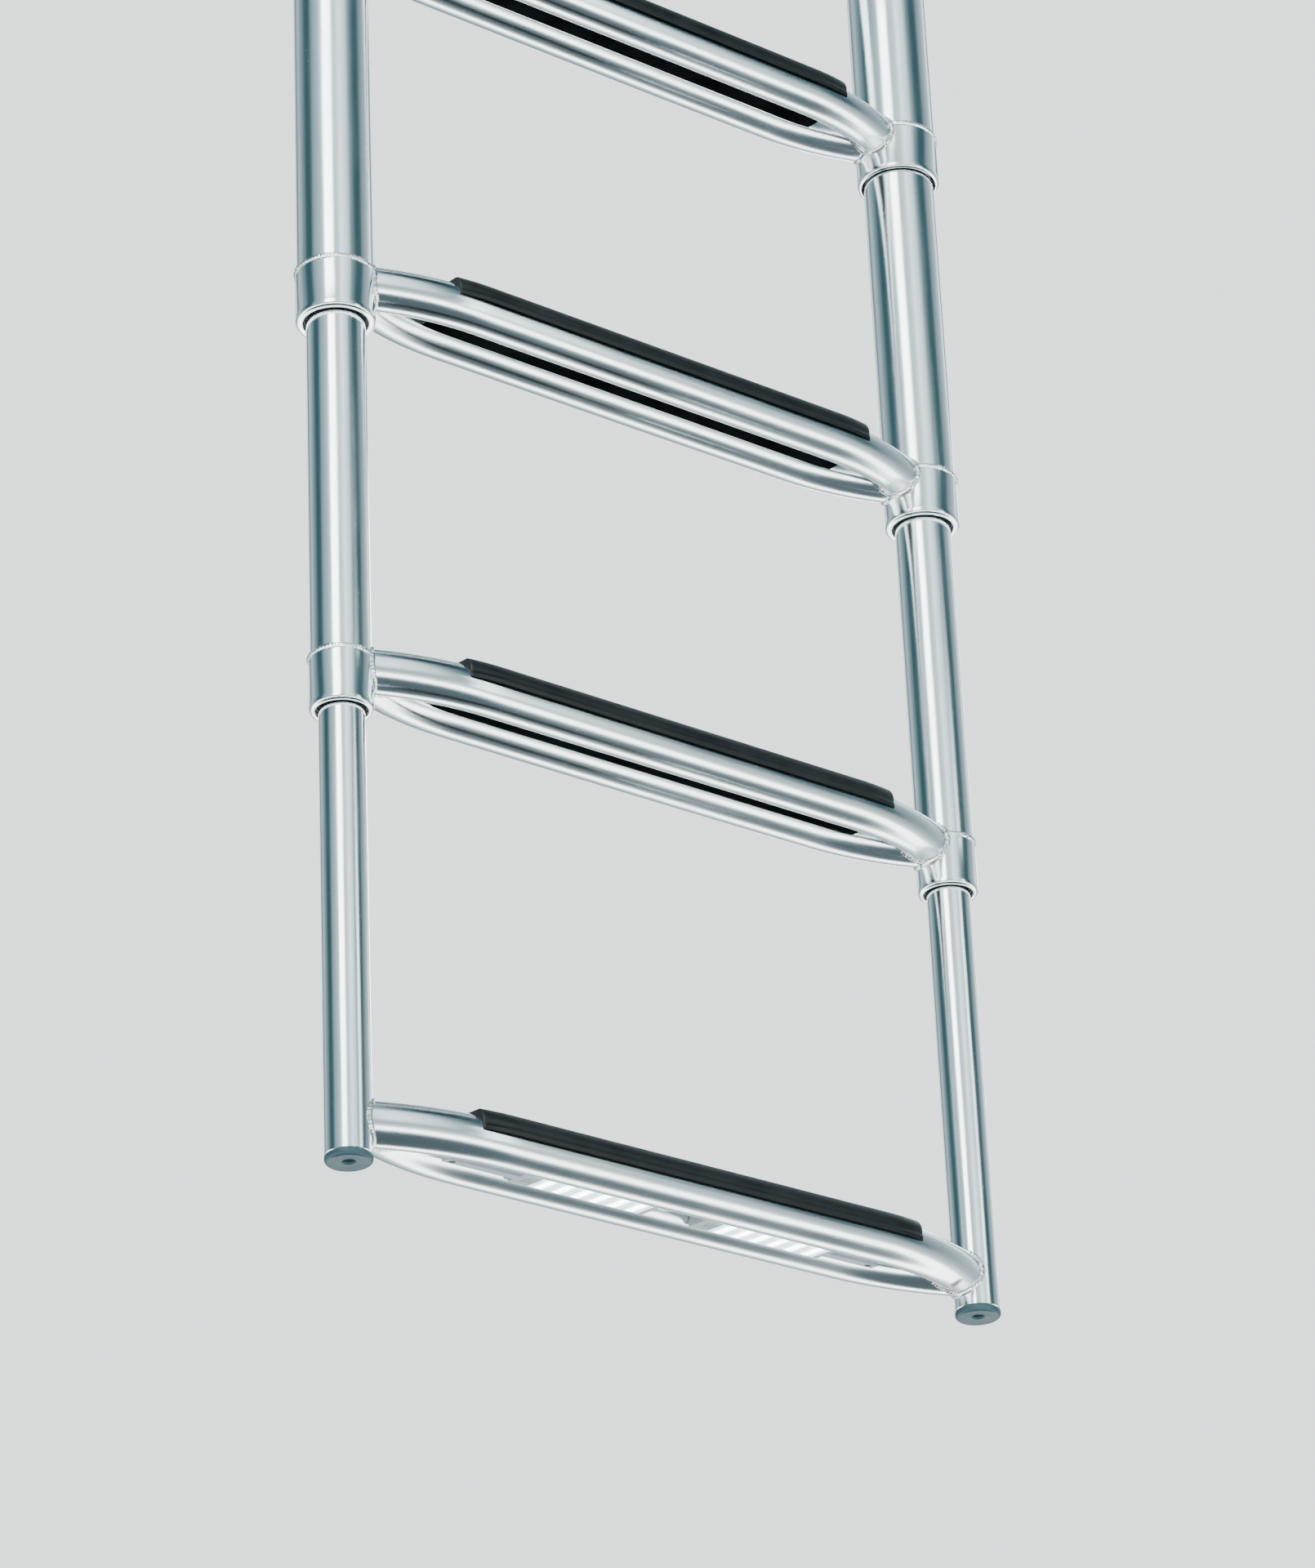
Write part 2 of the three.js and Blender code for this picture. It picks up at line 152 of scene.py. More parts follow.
class Material(Tree):
    def __init__(self, name):
        self.material = bpy.data.materials.new(name)
        self.material.use_nodes = True
        super().__init__(self.material.node_tree)
        self.shader = self.tree.nodes["Principled BSDF"]

    def set(self, **values):
        for key, value in values.items():
            self.put(self.shader.inputs[key.replace("_", " ")], value)

    def place(self, scale=(1, 1, 1)):
        at = self.add("ShaderNodeTexCoord").outputs["Object"]
        return self.add("ShaderNodeMapping", {"Vector": at, "Scale": scale}).outputs["Vector"]

    def noise(self, scale, stretch=(1, 1, 1), detail=4.0, rough=0.5):
        inputs = {
            "Vector": self.place(stretch), "Scale": scale, "Detail": detail, "Roughness": rough,
        }
        return self.add("ShaderNodeTexNoise", inputs).outputs["Fac"]

    def bump(self, height, distance, strength):
        inputs = {"Height": height, "Distance": distance, "Strength": strength}
        return self.add("ShaderNodeBump", inputs).outputs["Normal"]


def steel(name, along, bright=(0.86, 0.90, 0.91, 1), dull=(0.76, 0.83, 0.85, 1), rough=0.15):
    """Polished stainless: fine drawing lines along one axis, faint cloudy film, dried spots."""
    m = Material(name)
    line_stretch, streak_stretch = [1.0, 1.0, 1.0], [1.0, 1.0, 1.0]
    if along is not None:
        line_stretch[along], streak_stretch[along] = 0.02, 0.25
    lines = m.noise(1100, line_stretch, detail=3)
    cloud = m.noise(14, detail=5)
    streak = m.noise(60, streak_stretch)
    spots = m.add("ShaderNodeTexVoronoi", {"Vector": m.place(), "Scale": 150.0}).outputs["Distance"]
    spot_rings = m.ramp(spots, 0.08, 0.14, 0.06, 0.0)
    film = m.ramp(cloud, 0.35, 0.75, rough, rough + 0.08)
    drawn = m.ramp(lines, 0.3, 0.7, -0.02, 0.03)
    tone = m.blend(m.ramp(cloud, 0.3, 0.8, 0, 1), bright, dull)
    m.set(
        Base_Color=m.blend(m.ramp(streak, 0.55, 0.8, 0, 0.35), tone, dull), Metallic=1.0,
        Roughness=m.calc("ADD", m.calc("ADD", film, drawn), spot_rings),
        Normal=m.bump(lines, 0.00003, 0.3),
    )
    return m.material


def weld(name):
    """Weld bead: straw heat tint in patches, fine ripple."""
    m = Material(name)
    patch = m.noise(120)
    tint = m.blend(m.ramp(patch, 0.5, 0.75, 0, 0.6), (0.74, 0.77, 0.77, 1), (0.55, 0.47, 0.36, 1))
    m.set(
        Base_Color=tint, Metallic=1.0, Roughness=m.ramp(patch, 0.3, 0.7, 0.18, 0.34),
        Normal=m.bump(m.noise(900), 0.00008, 0.5),
    )
    return m.material


def moulded(name, dark, light, rough, uneven=0.2, shine=lambda m: 0.35):
    """Moulded rubber or plastic with a fine matt grain and rubbed patches."""
    m = Material(name)
    patch = m.noise(35, detail=6, rough=0.6)
    m.set(
        Base_Color=m.blend(m.ramp(patch, 0.35, 0.7, 0, 1), dark, light),
        Roughness=m.ramp(patch, 0.3, 0.75, rough, rough + uneven),
        Normal=m.bump(m.noise(2600, detail=2), 0.00006, 0.5), Specular_IOR_Level=shine(m),
    )
    return m.material


def shade_painted_underneath(m):
    """Specular level of the tread rubber: none where it faces down, as painted shade on the underside."""
    facing = m.add("ShaderNodeTexCoord").outputs["Normal"]
    upward = m.add("ShaderNodeSeparateXYZ", {0: facing}).outputs["Z"]
    return m.ramp(upward, -0.8, -0.1, 0.0, 0.45)


def lit_lens(name):
    """Lit lens: prismatic ribs across it and a hot spot over each diode."""
    m = Material(name)
    along = m.add("ShaderNodeTexCoord").outputs["Generated"]
    share = m.add("ShaderNodeSeparateXYZ", {0: along}).outputs["X"]
    in_cell = m.calc("FRACT", m.calc("MULTIPLY", share, float(DIODES)))
    off_centre = m.calc("ABSOLUTE", m.calc("SUBTRACT", in_cell, 0.5))
    ribs = m.add(
        "ShaderNodeTexWave", {"Vector": m.place(), "Scale": 110.0}, bands_direction="X",
    ).outputs["Fac"]
    spots = m.ramp(off_centre, 0.10, 0.30, 14.0, 2.6)
    m.set(
        Base_Color=(0.80, 0.88, 0.93, 1), Roughness=0.12, Emission_Color=(0.80, 0.93, 1.0, 1),
        Emission_Strength=m.calc("MULTIPLY", spots, m.ramp(ribs, 0.0, 1.0, 0.55, 1.1)),
        Normal=m.bump(ribs, 0.0003, 0.6),
    )
    return m.material


MATERIALS = {
    "steel_upright": steel("steel_upright", along=2),
    "steel_rail": steel("steel_rail", along=0),
    "steel_plain": steel("steel_plain", along=None, rough=0.13),
    "fastener": steel(
        "fastener", along=None, bright=(0.62, 0.64, 0.65, 1), dull=(0.5, 0.53, 0.54, 1), rough=0.2,
    ),
    "weld": weld("weld"),
    # tread rubber: its specular fades out where it faces down, painted shade on the underside
    "pad": moulded(
        "pad", (0.004, 0.005, 0.005, 1), (0.012, 0.014, 0.015, 1), 0.34, 0.16, shade_painted_underneath,
    ),
    "bush": moulded("bush", (0.008, 0.009, 0.01, 1), (0.02, 0.022, 0.024, 1), 0.3),
    "plug": moulded("plug", (0.045, 0.10, 0.12, 1), (0.08, 0.15, 0.17, 1), 0.32),
    "housing": moulded("housing", (0.66, 0.69, 0.71, 1), (0.78, 0.81, 0.83, 1), 0.3),
    "lens": lit_lens("lens"),
}

# ---- mesh helpers ----------------------------------------------------------------------------


def mesh_of(name, bm):
    """Welds a bmesh's doubled points, turns its faces outward and makes it a mesh."""
    bmesh.ops.remove_doubles(bm, verts=bm.verts, dist=1e-7)
    bmesh.ops.recalc_face_normals(bm, faces=bm.faces)
    mesh = bpy.data.meshes.new(name)
    bm.to_mesh(mesh)
    bm.free()
    return mesh


def object_of(name, mesh):
    thing = bpy.data.objects.new(name, mesh)
    bpy.context.scene.collection.objects.link(thing)
    return thing


def smoothed(mesh, crease):
    """Smooth shading, with sharp edges past an angle in degrees."""
    mesh.polygons.foreach_set("use_smooth", [True] * len(mesh.polygons))
    mesh.set_sharp_from_angle(angle=math.radians(crease))
    return mesh


def placed(name, mesh, material, body, slot, *replaced):
    """A piece that rides on a body and shows in place of its CAD nodes."""
    mesh.materials.clear()
    mesh.materials.append(MATERIALS[material])
    piece = object_of(name, mesh)
    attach(piece, body)
    if replaced:
        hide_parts(*replaced)


def lofted_piece(name, bm, material, body, slot, *replaced, crease=32):
    """A piece made from a bmesh."""
    placed(name, smoothed(mesh_of(name, bm), crease), material, body, slot, *replaced)


def cut_piece(name, mesh, material, body, slot, *replaced, crease=32):
    """A piece made by booleans, its normals weighted by face area so that flat faces shade flat."""
    thing = object_of(name, smoothed(mesh, crease))
    weighting = thing.modifiers.new("weighting", "WEIGHTED_NORMAL")
    weighting.keep_sharp = True
    graph = bpy.context.evaluated_depsgraph_get()
    even = bpy.data.meshes.new_from_object(thing.evaluated_get(graph))
    bpy.data.objects.remove(thing)
    placed(name, even, material, body, slot, *replaced)


def loft(bm, rings, closed_along=False, caps=True):
    """Skins a list of equal rings of points. Caps are fans to each end ring's centre."""
    made = [[bm.verts.new(p) for p in ring] for ring in rings]
    count = len(made[0])
    pairs = list(zip(made, made[1:]))
    if closed_along:
        pairs.append((made[-1], made[0]))
    for one, two in pairs:
        for i in range(count):
            j = (i + 1) % count
            bm.faces.new((one[i], one[j], two[j], two[i]))
    if caps and not closed_along:
        for ring in (made[0], made[-1]):
            centre = bm.verts.new(sum((v.co for v in ring), Vector()) / count)
            for i in range(count):
                bm.faces.new((ring[i], ring[(i + 1) % count], centre))


def arc(cx, cy, r, start, end, steps):
    """Points on an arc, in degrees."""
    turn = [math.radians(start + (end - start) * i / steps) for i in range(steps + 1)]
    return [(cx + r * math.cos(a), cy + r * math.sin(a)) for a in turn]


def turned(bm, profile, centre, sides=96):
    """A closed (radius, height) profile turned about a vertical axis. It may touch the axis."""
    on_axis = [r < 1e-9 for r, _ in profile]
    columns = []
    for k in range(sides):
        a = 2 * math.pi * k / sides
        columns.append([
            bm.verts.new(centre + Vector((r * math.cos(a), r * math.sin(a), z))) for r, z in profile
        ])
    count = len(profile)
    for k in range(sides):
        one, two = columns[k], columns[(k + 1) % sides]
        for i in range(count):
            j = (i + 1) % count
            if on_axis[i] and on_axis[j]:
                continue
            if on_axis[i]:
                bm.faces.new((one[i], two[j], one[j]))
            elif on_axis[j]:
                bm.faces.new((one[i], two[i], one[j]))
            else:
                bm.faces.new((one[i], two[i], two[j], one[j]))


BEAD_STEP = 0.6 * MM
BEAD_PITCH = 2.1 * MM
BEAD_RIPPLE = 0.16  # share of the bead's size
BEAD_SIDES = 10
ASKEW = Vector((0.31, 0.17, 0.93))  # no bead runs this way


def bead(bm, path, size, closed=True):
    """A weld bead laid along a path of points, thick and thin in turn like stacked coins."""
    spaced = resampled(path, BEAD_STEP, closed)
    count = len(spaced)
    rings = []
    for k, point in enumerate(spaced):
        before = spaced[k - 1] if closed or k else point
        after = spaced[(k + 1) % count] if closed or k < count - 1 else point
        along = (after - before).normalized()
        side = along.cross(ASKEW).normalized()
        over = along.cross(side)
        travelled = k * BEAD_STEP
        coin = abs(math.sin(math.pi * travelled / BEAD_PITCH))
        r = size * (1 + BEAD_RIPPLE * coin - BEAD_RIPPLE / 2)
        r *= 1 + 0.10 * math.sin(travelled * 310) + 0.06 * math.sin(travelled * 870 + 1)
        turn = [2 * math.pi * i / BEAD_SIDES for i in range(BEAD_SIDES)]
        rings.append([point + r * (math.cos(a) * side + math.sin(a) * over) for a in turn])
    loft(bm, rings, closed_along=closed)


def resampled(path, step, closed):
    points = list(path) + ([path[0]] if closed else [])
    lengths = [(b - a).length for a, b in zip(points, points[1:])]
    total = sum(lengths)
    count = max(8, round(total / step))
    result, index, done = [], 0, 0.0
    for k in range(count if closed else count + 1):
        target = min(total * k / count, total - 1e-9)
        while index < len(lengths) - 1 and done + lengths[index] < target:
            done += lengths[index]
            index += 1
        share = (target - done) / max(lengths[index], 1e-9)
        result.append(points[index].lerp(points[index + 1], min(max(share, 0), 1)))
    return result


def solid_object(name, bm):
    """A plain object for a boolean, joined into a piece later."""
    return object_of(name, mesh_of(name, bm))


def carved(first, steps, bevel=0.0):
    """Applies booleans, (operation, object) each, then rounds the edges. Returns the mesh."""
    for operation, other in steps:
        change = first.modifiers.new("boolean", "BOOLEAN")
        change.operation, change.object, change.solver = operation, other, "EXACT"
    if bevel:
        rounding = first.modifiers.new("bevel", "BEVEL")
        rounding.width, rounding.segments = bevel, 3
        rounding.limit_method, rounding.angle_limit = "ANGLE", math.radians(40)
    graph = bpy.context.evaluated_depsgraph_get()
    mesh = bpy.data.meshes.new_from_object(first.evaluated_get(graph))
    for thing in [first] + [other for _, other in steps]:
        bpy.data.objects.remove(thing)
    return mesh


def extruded(outline, low, high, axis=0):
    """A closed outline in the other two axes, carried along one axis."""
    bm = bmesh.new()

    def point(a, b, along):
        return {0: Vector((along, a, b)), 1: Vector((a, along, b)), 2: Vector((a, b, along))}[axis]

    ends = [[bm.verts.new(point(a, b, t)) for a, b in outline] for t in (low, high)]
    bm.faces.new(ends[0])
    bm.faces.new(ends[1])
    count = len(outline)
    for i in range(count):
        j = (i + 1) % count
        bm.faces.new((ends[0][i], ends[0][j], ends[1][j], ends[1][i]))
    return bm


# ---- stiles ----------------------------------------------------------------------------------
WALL = 1.5 * MM
TUBE_EDGE, RING_EDGE, BUSH_EDGE = 0.35 * MM, 0.8 * MM, 0.5 * MM  # chamfers
RING_CLEAR, BUSH_CLEAR = 0.2 * MM, 0.15 * MM


def ring_piece(node, outer, inner, edge, material, slot, body):
    """A plain ring as high as its node, chamfered at every corner."""
    low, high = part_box(node)
    profile = [
        (inner, low.z + edge), (inner + edge, low.z), (outer - edge, low.z), (outer, low.z + edge),
        (outer, high.z - edge), (outer - edge, high.z), (inner + edge, high.z), (inner, high.z - edge),
    ]
    bm = bmesh.new()
    turned(bm, profile, Vector((middle(node).x, LADDER_Y, 0)))
    lofted_piece(f"{node}_fine", bm, material, body, slot, node)


def add_stiles(n, label):
    body = f"section_{n}"
    r = TUBE_R[n]
    ring_piece(f"tube_{n}_{label}", r, r - WALL, TUBE_EDGE, "steel_upright", "steel", body)
    if n > 1:
        ring = f"guide_ring_{n}_{label}"
        ring_piece(ring, radius(ring), r + RING_CLEAR, RING_EDGE, "bush", "bush", body)
    if n < LAST:
        add_collar(n, label)
        bush = f"bush_{n}_{label}"
        ring_piece(bush, radius(bush), TUBE_R[n + 1] + BUSH_CLEAR, BUSH_EDGE, "bush", "bush", body)


RIM_ROUND = 2 * MM
LIP_H, LIP_CLEAR = 2.7 * MM, 1.7 * MM
LIP_EDGE, LIP_ROUND = 0.4 * MM, 0.6 * MM
SLEEVE_IN, SLEEVE_STEP = 0.12 * MM, 0.5 * MM  # the sleeve is a hair thinner than the foot
SHOULDER_ROUND, SHOULDER_DROP, SHOULDER_H = 1.3 * MM, 1.5 * MM, 2.6 * MM
SKIN = 0.02 * MM
COLLAR_WELD, WELD_OUT, WELD_UP = 1.6 * MM, 0.25 * MM, 0.1 * MM
WELD_POINTS = 120


def add_collar(n, label):
    """Welded end collar: softened shoulder at the top, foot turned in towards the next tube."""
    node = f"collar_{n}_{label}"
    low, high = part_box(node)
    foot, top = low.z, high.z
    outer, inner = radius(node), TUBE_R[n] - WALL
    sleeve = outer - SLEEVE_IN
    centre = Vector((middle(node).x, LADDER_Y, 0))
    lip = min(inner, TUBE_R[n + 1] + LIP_CLEAR)
    profile = [
        (inner, foot + LIP_H), (lip + LIP_EDGE, foot + LIP_H), (lip, foot + LIP_H - LIP_EDGE),
        *arc(lip + LIP_ROUND, foot + LIP_ROUND, LIP_ROUND, 180, 260, 5),
        *arc(outer - RIM_ROUND, foot + RIM_ROUND, RIM_ROUND, -85, 0, 9),
        (outer, foot + 2 * RIM_ROUND), (sleeve, foot + 2 * RIM_ROUND + SLEEVE_STEP),
        (sleeve, top - SHOULDER_H),
        *arc(sleeve - SHOULDER_ROUND, top - SHOULDER_DROP, SHOULDER_ROUND, 0, 80, 6),
        (TUBE_R[n] + SKIN, top), (inner, top),
    ]
    bm = bmesh.new()
    turned(bm, profile, centre)
    lofted_piece(f"{node}_fine", bm, "steel_upright", f"section_{n}", "steel", node)
    # the weld that closes the collar onto its tube
    r = TUBE_R[n] + WELD_OUT
    turn = [2 * math.pi * k / WELD_POINTS for k in range(WELD_POINTS)]
    path = [centre + Vector((r * math.cos(a), r * math.sin(a), top + WELD_UP)) for a in turn]
    bm = bmesh.new()
    bead(bm, path, COLLAR_WELD)
    lofted_piece(f"collar_weld_{n}_{label}", bm, "weld", f"section_{n}", "steel")


FLANGE_H, FLANGE_ROUND, FLANGE_EDGE = 4 * MM, 2.4 * MM, 0.4 * MM
FACE_AT, FACE_ROUND, FACE_UP = 0.62, 1 * MM, 1.6 * MM  # lowest ring of the plug's face
HOLE_R, HOLE_H = 3.2 * MM, 10 * MM
MOUTH_UP, MOUTH_ROUND = 2.6 * MM, 2 * MM
SPIGOT_CLEAR, SPIGOT_EDGE = 0.3 * MM, 0.8 * MM


def add_end_plug(label):
    """Plug in the tube's foot: rounded flange, dished face with a blind hole, spigot inside."""
    node = f"end_plug_{label}"
    low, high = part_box(node)
    r = radius(node)
    spigot = TUBE_R[LAST] - WALL - SPIGOT_CLEAR
    foot, top = low.z, high.z
    profile = [
        (0, foot + HOLE_H), (HOLE_R, foot + HOLE_H), (HOLE_R, foot + MOUTH_UP),
        *arc(HOLE_R + MOUTH_ROUND, foot + MOUTH_UP, MOUTH_ROUND, 180, 235, 4),
        *arc(r * FACE_AT, foot + FACE_UP, FACE_ROUND, 250, 290, 3),
        *arc(r - FLANGE_ROUND, foot + FLANGE_ROUND, FLANGE_ROUND, -78, 0, 8),
        (r, foot + FLANGE_H - FLANGE_EDGE), (r - FLANGE_EDGE, foot + FLANGE_H),
        (spigot, foot + FLANGE_H), (spigot, top - SPIGOT_EDGE), (spigot - SPIGOT_EDGE, top), (0, top),
    ]
    bm = bmesh.new()
    turned(bm, profile, Vector((middle(node).x, LADDER_Y, 0)))
    lofted_piece(f"{node}_fine", bm, "plug", f"section_{LAST}", "plug", node)


# ---- treads ----------------------------------------------------------------------------------
RAIL_R = 12.7 * MM
RAIL_Y = 20.5 * MM
RAIL_STRAIGHT = 132 * MM
RAIL_BEND_R = 160 * MM
RAIL_LINES = 64
RAIL_STATIONS = 36
RAIL_CROWDING = 1.7  # draws the stations towards the bent ends
RAIL_WELD = 1.55 * MM
TOUCH = 0.15 * MM
STILE_DEPTH = 5 * MM  # no rail gets nearer to the stile's centre line
SEARCH_STEP, SEARCH_STEPS, HALVINGS = 1 * MM, 96, 18


def tilted(point):
    """A point of a tread, from its level frame to its tilted place about the tread's centre."""
    turn, lift = math.cos(TREAD_TILT), math.sin(TREAD_TILT)
    return Vector((point[0], point[1] * turn - point[2] * lift, point[1] * lift + point[2] * turn))


def rail_point(side, s, phi):
    """A point on the level rail's skin: s along its centre line from the middle, phi around it."""
    bend = max(0.0, s - RAIL_STRAIGHT) / RAIL_BEND_R
    x = min(s, RAIL_STRAIGHT) + RAIL_BEND_R * math.sin(bend)
    y = RAIL_Y - RAIL_BEND_R * (1 - math.cos(bend))
    x += RAIL_R * math.cos(phi) * math.sin(bend)
    y += RAIL_R * math.cos(phi) * math.cos(bend)
    return Vector((x, side * y, RAIL_R * math.sin(phi)))


def rail_stops(n, point, side):
    """True where the rail's skin has met the collar, the tube or the other rail."""
    here = tilted(point)
    beside_collar = n != LAST and here.z < COLLAR_TOP[n] - TREAD_Z[n]
    reach = COLLAR_R[n] if beside_collar else TUBE_R[n]
    away = math.hypot(here.x - STILE_X, here.y)
    at_other_rail = side * point.y < TOUCH
    return at_other_rail or away < reach + TOUCH or here.x > STILE_X - STILE_DEPTH


def rail_reach(n, side, phi):
    """How far from the middle the rail's skin runs, at one place round it, before it stops."""
    for k in range(SEARCH_STEPS):
        s = RAIL_STRAIGHT + k * SEARCH_STEP
        if rail_stops(n, rail_point(side, s, phi), side):
            before = s - SEARCH_STEP
            for _ in range(HALVINGS):
                mid = (before + s) / 2
                if rail_stops(n, rail_point(side, mid, phi), side):
                    s = mid
                else:
                    before = mid
            return s
    return s


def add_rail(n, name, side):
    turn = [2 * math.pi * k / RAIL_LINES for k in range(RAIL_LINES)]
    reach = [rail_reach(n, side, phi) for phi in turn]
    origin = Vector((0, LADDER_Y, TREAD_Z[n]))

    def ring(end, share):
        points = []
        for phi, s in zip(turn, reach):
            p = tilted(rail_point(side, s * share, phi))
            points.append(origin + Vector((end * p.x, p.y, p.z)))
        return points

    shares = [1 - (1 - k / RAIL_STATIONS) ** RAIL_CROWDING for k in range(RAIL_STATIONS + 1)]
    rings = [ring(-1, t) for t in reversed(shares[1:])] + [ring(1, t) for t in shares]
    bm = bmesh.new()
    loft(bm, rings)
    node = f"rail_{n}_{name}"
    lofted_piece(f"{node}_fine", bm, "steel_rail", f"section_{n}", "steel", node, crease=50)
    for label, end in SIDES.items():
        bm = bmesh.new()
        bead(bm, ring(end, 1.0), RAIL_WELD)
        lofted_piece(f"rail_weld_{n}_{name}_{label}", bm, "weld", f"section_{n}", "steel")


PAD_CLEAR, PAD_SKIN = 0.3 * MM, 1.5 * MM
PAD_SIDE_Y = RAIL_Y + RAIL_R + PAD_CLEAR + PAD_SKIN
PAD_TOP = 15.5 * MM
PAD_ROUND = 9 * MM
PAD_DRAFT = 0.8 * MM
SKIRT_Z, SKIRT_H = 1.5 * MM, 2.6 * MM
SKIRT_STEP_IN, SKIRT_STEP_UP = 0.45 * MM, 0.4 * MM
KEEL_Z, LAMP_KEEL_Z = -4 * MM, 7 * MM
KEEL_EDGE = 1.2 * MM
RIB_PITCH, RIB_DEPTH = 4.4 * MM, 0.9 * MM
GROOVE = ((1.35 * MM, 0), (0.85 * MM, 0.25), (0.6 * MM, 1))  # half width, share of the depth
GROOVE_MARGIN = 1 * MM


def pad_outline(keel_z):
    """The pad's section: boxed over both rails, grooved on top, a keel between the rails."""
    inner = RAIL_R + PAD_CLEAR
    inner_edge = math.degrees(math.asin(SKIRT_Z / inner))
    keel = math.degrees(math.asin(keel_z / inner))
    skirt = (PAD_SIDE_Y - RAIL_Y - inner * math.cos(math.radians(inner_edge))) / 2
    round_y, round_z = PAD_SIDE_Y - PAD_DRAFT - PAD_ROUND, PAD_TOP - PAD_ROUND
    half = arc(PAD_SIDE_Y - skirt, SKIRT_Z + skirt, skirt, -160, 0, 7)
    half += [
        (PAD_SIDE_Y, SKIRT_Z + SKIRT_H),
        (PAD_SIDE_Y - SKIRT_STEP_IN, SKIRT_Z + SKIRT_H + SKIRT_STEP_UP),
    ]
    half += arc(round_y, round_z, PAD_ROUND, 0, 84, 16)
    grooves = int((round_y - GROOVE_MARGIN) / RIB_PITCH)
    for k in range(grooves, -1, -1):
        y = k * RIB_PITCH
        half += [(y + width, PAD_TOP - RIB_DEPTH * depth) for width, depth in GROOVE]
        if k:
            half += [(y - width, PAD_TOP - RIB_DEPTH * depth) for width, depth in reversed(GROOVE)]
    under = arc(RAIL_Y, 0, inner, 180 - keel, inner_edge + 2, 28)
    keel_y = under[0][0] - KEEL_EDGE
    across = [(-y, z) for y, z in reversed(half)] + [(-y, z) for y, z in reversed(under)]
    return half + across + [(-keel_y, keel_z), (keel_y, keel_z)] + under


END_ROUND, END_DROP = 6 * MM, 1.3 * MM  # the ends' tops
END_EDGE = 1 * MM
END_EDGE_TURNS = (0, 0.5, 1.0, math.pi / 2)
END_STATIONS = (0.35, 0.5, 0.65, 0.8, 1.0)  # shares of END_ROUND
RUN_STATIONS = (-1.06, -1, -0.5, 0, 0.5, 1, 1.06)  # shares of the rails' straight half
PAD_MID_Z = 6 * MM
SHRINK_Y, SHRINK_Z = 30 * MM, 11 * MM  # half sizes over which an end's edge is rounded off


def add_pad(n):
    """The pad: its section carried along the rails, drawn in with their bend, its ends rounded."""
    node = f"pad_{n}"
    low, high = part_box(node)
    outline = pad_outline(LAMP_KEEL_Z if n == LAST else KEEL_Z)
    half_length = (high.x - low.x) / 2
    end = [
        (-half_length + END_EDGE * (1 - math.cos(a)), END_EDGE * (1 - math.sin(a)))
        for a in END_EDGE_TURNS
    ]
    end += [(-half_length + END_ROUND * t, 0.0) for t in END_STATIONS]
    run = [(RAIL_STRAIGHT * t, 0.0) for t in RUN_STATIONS]
    centre = Vector((0, LADDER_Y, TREAD_Z[n]))
    rings = []
    for x, shrink in end + run + [(-x, d) for x, d in reversed(end)]:
        bend = max(0.0, abs(x) - RAIL_STRAIGHT)
        drift = (1 - bend * bend / (2 * RAIL_BEND_R) / RAIL_Y) * (1 - shrink / SHRINK_Y)
        into_end = max(0.0, abs(x) - half_length + END_ROUND) / END_ROUND
        top = PAD_TOP - END_DROP * (1 - math.sqrt(max(0.0, 1 - into_end * into_end)))
        flatter = 1 - shrink / SHRINK_Z
        rings.append([
            centre + tilted((x, y * drift, min(top, PAD_MID_Z + (z - PAD_MID_Z) * flatter)))
            for y, z in outline
        ])
    bm = bmesh.new()
    loft(bm, rings, caps=False)
    bm.verts.ensure_lookup_table()
    count = len(outline)
    for start in (0, (len(rings) - 1) * count):
        cap = bm.faces.new([bm.verts[start + i] for i in range(count)])
        bmesh.ops.triangulate(bm, faces=[cap], ngon_method="EAR_CLIP")
    lofted_piece(f"{node}_fine", bm, "pad", f"section_{n}", "pad", node, crease=40)


# ---- lamps -----------------------------------------------------------------------------------
LAMP_HALF, LAMP_HALF_Y = 46 * MM, 8.4 * MM
LAMP_CLEAR = 0.7 * MM  # lamp to rail
LAMP_TOP, LENS_TOP, LENS_FOOT = 6.5 * MM, -3 * MM, -9.5 * MM
JOINT_GAP, JOINT_LAP = 0.3 * MM, 1 * MM  # housing over the lens, and its bracket's lap onto it
BRACKET, CHEEK, BRACKET_FOOT = 13 * MM, 3 * MM, -8.7 * MM
ARM_HALF_Y, ARM_TOP, ARM_LAP = 3 * MM, -6.2 * MM, 1 * MM
OVERCUT = 1 * MM
BRACKET_SLOT = {"middle": 0.62, "pitch": 2.6 * MM, "half": 0.55 * MM, "half_y": 4.2 * MM, "depth": 0.9 * MM}
ARM_SCREW = {"r": 1.9 * MM, "inset": 5 * MM, "clear": 0.3 * MM, "recess": 1.4 * MM, "top": 1.2 * MM}
DRIVER_SLOT = {"half": 0.3 * MM, "depth": 0.7 * MM}
LENS_INSET, LENS_FACE, LENS_CLEAR = 0.4 * MM, 0.9 * MM, 0.2 * MM
DOME_R, DOME_UP = 2.55 * MM, 2.6 * MM


def lamp_side(z):
    """Half width of a lamp at a height: it follows the rails' round."""
    clear = RAIL_R + LAMP_CLEAR
    return min(RAIL_Y - math.sqrt(clear * clear - z * z), LAMP_HALF_Y)


def lamp_block(x0, x1, low, high, inset=0.0, rows=10):
    rise = [low + (high - low) * k / rows for k in range(rows + 1)]
    right = [(lamp_side(z) - inset, z) for z in rise]
    outline = right + [(-y, z) for y, z in reversed(right)]
    return solid_object("block", extruded(outline, x0, x1))


def lamp_box(x0, x1, half_y, low, high):
    outline = [(half_y, low), (half_y, high), (-half_y, high), (-half_y, low)]
    return solid_object("box", extruded(outline, x0, x1))


def upright_bar(x, r, low, high):
    bm = bmesh.new()
    turned(bm, [(0, low), (r, low), (r, high), (0, high)], Vector((x, 0, 0)), sides=40)
    return solid_object("bar", bm)


